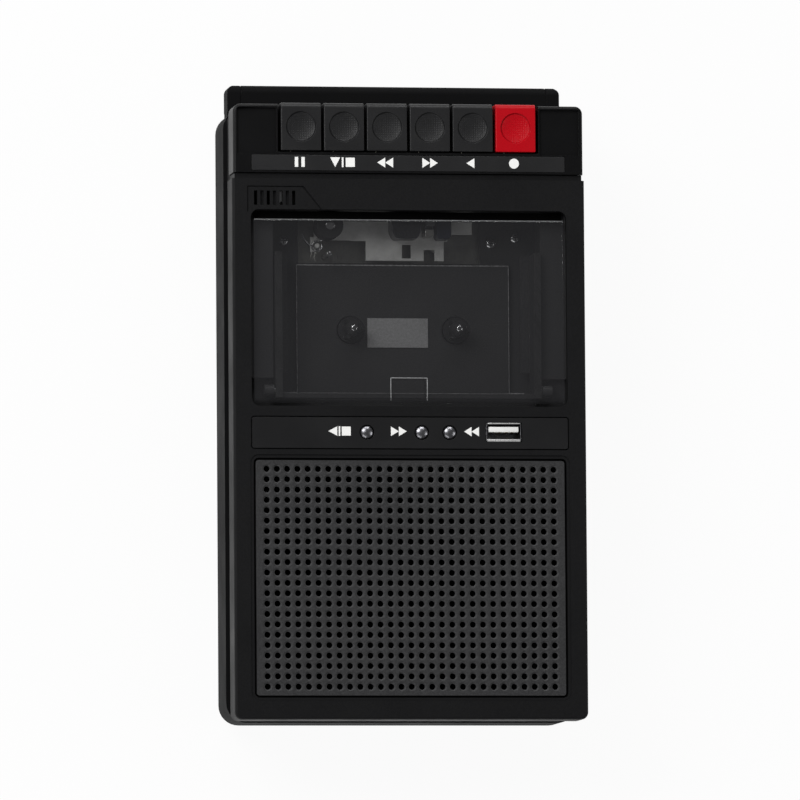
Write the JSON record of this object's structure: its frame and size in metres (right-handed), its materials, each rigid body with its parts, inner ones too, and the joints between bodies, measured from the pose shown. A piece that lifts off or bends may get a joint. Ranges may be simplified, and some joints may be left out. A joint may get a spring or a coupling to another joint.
{
  "type": "portable cassette recorder",
  "caption": "Portable cassette recorder with piano keys, a hinged smoked cassette door over a tape transport, a control strip, a speaker grille and a slide-out handle.",
  "frame": {"origin": "on the table, under the middle of the recorder's outline with its handle pushed in", "axes": "+X across the face to the record key, +Y along the body to the keys, +Z out of the face"},
  "size_m": [0.142, 0.2572, 0.061],
  "materials": {
    "case_plastic": "fine grained satin black moulding",
    "key_plastic": "satin charcoal moulding with a finely textured dish",
    "record_red": "satin red moulding",
    "label_print": "dark grey strip with white symbols",
    "grille_plastic": "grained charcoal moulding",
    "smoked_window": "smoked clear plastic",
    "rubber": "matt black rubber",
    "steel": "plain stamped steel",
    "bright_metal": "bright plated metal",
    "brass": "turned brass",
    "button_metal": "dark bright-coated button",
    "board_green": "green circuit board",
    "component_dark": "dark component bodies",
    "cone_paper": "black paper cone",
    "plate_grey": "light grey plate",
    "inner_plastic": "plain black moulding"
  },
  "bodies": {
    "case": {"rear_case": "case_plastic", "front_cover": "case_plastic", "key_surround": "case_plastic", "speaker_grille": "grille_plastic", "control_strip": "label_print", "label_strip": "label_print", "rubber_feet": "rubber", "case_screws": "steel", "cassette_well": "inner_plastic", "deck_plate": "plate_grey", "transport_chassis": "steel", "capstan_bearing": "brass", "motor": "bright_metal", "drive_belt": "rubber", "main_board": "board_green", "board_components": "component_dark", "speaker_frame": "steel", "speaker_cone": "cone_paper", "speaker_magnet": "steel", "microphone": "bright_metal", "usb_socket": "bright_metal", "button_board": "board_green", "tact_switches": "component_dark", "volume_pot": "steel", "audio_jacks": "inner_plastic", "power_inlet": "inner_plastic", "battery_springs": "bright_metal", "battery_contacts": "bright_metal", "key_shaft": "steel", "key_return_spring": "steel"},
    "handle": {"handle_grip": "case_plastic", "handle_arms": "case_plastic"},
    "cassette_door": {"door_window": "smoked_window", "cassette_carrier": "inner_plastic", "door_hinge_pins": "steel", "door_hook": "inner_plastic"},
    "pause": {"pause_key": "key_plastic"},
    "stop_eject": {"stop_eject_key": "key_plastic"},
    "rewind": {"rewind_key": "key_plastic"},
    "fast_forward": {"fast_forward_key": "key_plastic"},
    "play": {"play_key": "key_plastic"},
    "record": {"record_key": "record_red"},
    "head_carriage": {"head_bridge": "steel", "play_head": "bright_metal", "erase_head": "component_dark", "pinch_roller_pin": "steel"},
    "pinch_wheel": {"pinch_roller": "rubber"},
    "capstan_drive": {"capstan_shaft": "bright_metal", "flywheel": "steel"},
    "motor_drive": {"motor_pulley": "brass"},
    "supply_reel": {"supply_spindle": "inner_plastic"},
    "takeup_reel": {"takeup_spindle": "inner_plastic"},
    "volume": {"volume_wheel": "inner_plastic"},
    "play_pause_push": {"play_pause_button": "button_metal"},
    "next_push": {"next_button": "button_metal"},
    "previous_push": {"previous_button": "button_metal"},
    "battery_cover": {"battery_door": "case_plastic"},
    "latch": {"door_latch": "steel"}
  },
  "joints": [
    {"name": "handle_slide", "type": "slide", "parent": "case", "child": "handle", "axis": [0, 1, 0], "range_m": [0, 0.038]},
    {"name": "door_hinge", "type": "hinge", "parent": "case", "child": "cassette_door", "pos_m": [0, 0.0028, 0.055], "axis": [1, 0, 0], "range_deg": [0, 50]},
    {"name": "pause_press", "type": "hinge", "parent": "case", "child": "pause", "pos_m": [0, 0.0914, 0.051], "axis": [-1, 0, 0], "range_deg": [0, 12], "stiffness_Nm_per_rad": 0.3, "springref_deg": -3.44, "deforming": ["key_return_spring"]},
    {"name": "stop_eject_press", "type": "hinge", "parent": "case", "child": "stop_eject", "pos_m": [0, 0.0914, 0.051], "axis": [-1, 0, 0], "range_deg": [0, 12], "stiffness_Nm_per_rad": 0.3, "springref_deg": -3.44, "deforming": ["key_return_spring"]},
    {"name": "rewind_press", "type": "hinge", "parent": "case", "child": "rewind", "pos_m": [0, 0.0914, 0.051], "axis": [-1, 0, 0], "range_deg": [0, 12], "stiffness_Nm_per_rad": 0.3, "springref_deg": -3.44, "deforming": ["key_return_spring"]},
    {"name": "fast_forward_press", "type": "hinge", "parent": "case", "child": "fast_forward", "pos_m": [0, 0.0914, 0.051], "axis": [-1, 0, 0], "range_deg": [0, 12], "stiffness_Nm_per_rad": 0.3, "springref_deg": -3.44, "deforming": ["key_return_spring"]},
    {"name": "play_press", "type": "hinge", "parent": "case", "child": "play", "pos_m": [0, 0.0914, 0.051], "axis": [-1, 0, 0], "range_deg": [0, 12], "deforming": ["key_return_spring"]},
    {"name": "record_press", "type": "hinge", "parent": "case", "child": "record", "pos_m": [0, 0.0914, 0.051], "axis": [-1, 0, 0], "range_deg": [0, 12], "stiffness_Nm_per_rad": 0.3, "springref_deg": -3.44, "deforming": ["key_return_spring"]},
    {"name": "head_slide", "type": "slide", "parent": "case", "child": "head_carriage", "axis": [0, -1, 0], "range_m": [0, 0.0046], "stiffness_N_per_m": 620, "springref_m": -0.0013},
    {"name": "pinch_roller_spin", "type": "hinge", "parent": "head_carriage", "child": "pinch_wheel", "pos_m": [-0.031, 0.069, 0.048], "axis": [0, 0, 1], "continuous": true},
    {"name": "capstan_spin", "type": "hinge", "parent": "case", "child": "capstan_drive", "pos_m": [-0.031, 0.0576, 0.03], "axis": [0, 0, 1], "continuous": true},
    {"name": "motor_spin", "type": "hinge", "parent": "case", "child": "motor_drive", "pos_m": [0.034, 0.0204, 0.027], "axis": [0, 0, 1], "continuous": true},
    {"name": "supply_spin", "type": "hinge", "parent": "case", "child": "supply_reel", "pos_m": [0.02125, 0.0281, 0.04], "axis": [0, 0, 1], "continuous": true},
    {"name": "takeup_spin", "type": "hinge", "parent": "case", "child": "takeup_reel", "pos_m": [-0.02125, 0.0281, 0.04], "axis": [0, 0, 1], "continuous": true},
    {"name": "volume_turn", "type": "hinge", "parent": "case", "child": "volume", "pos_m": [0.0608, 0.0234, 0.016], "axis": [0, 0, 1], "range_deg": [0, 270]},
    {"name": "play_pause_press", "type": "slide", "parent": "case", "child": "play_pause_push", "axis": [0, 0, -1], "range_m": [0, 0.0008], "stiffness_N_per_m": 1200, "springref_m": -0.0004},
    {"name": "next_press", "type": "slide", "parent": "case", "child": "next_push", "axis": [0, 0, -1], "range_m": [0, 0.0008], "stiffness_N_per_m": 1200, "springref_m": -0.0004},
    {"name": "previous_press", "type": "slide", "parent": "case", "child": "previous_push", "axis": [0, 0, -1], "range_m": [0, 0.0008], "stiffness_N_per_m": 1200, "springref_m": -0.0004},
    {"name": "battery_door_hinge", "type": "hinge", "parent": "case", "child": "battery_cover", "pos_m": [0, -0.1023, 0.003], "axis": [-1, 0, 0], "range_deg": [0, 75]},
    {"name": "latch_slide", "type": "slide", "parent": "case", "child": "latch", "axis": [0, -1, 0], "range_m": [0, 0.0016]}
  ],
  "couplings": [
    {"joint": "play_press", "follows": "head_slide", "rad_per_m": 45.45},
    {"joint": "latch_slide", "follows": "stop_eject_press", "m_per_rad": 0.0075},
    {"joint": "motor_spin", "follows": "capstan_spin", "ratio": 6.8333}
  ]
}
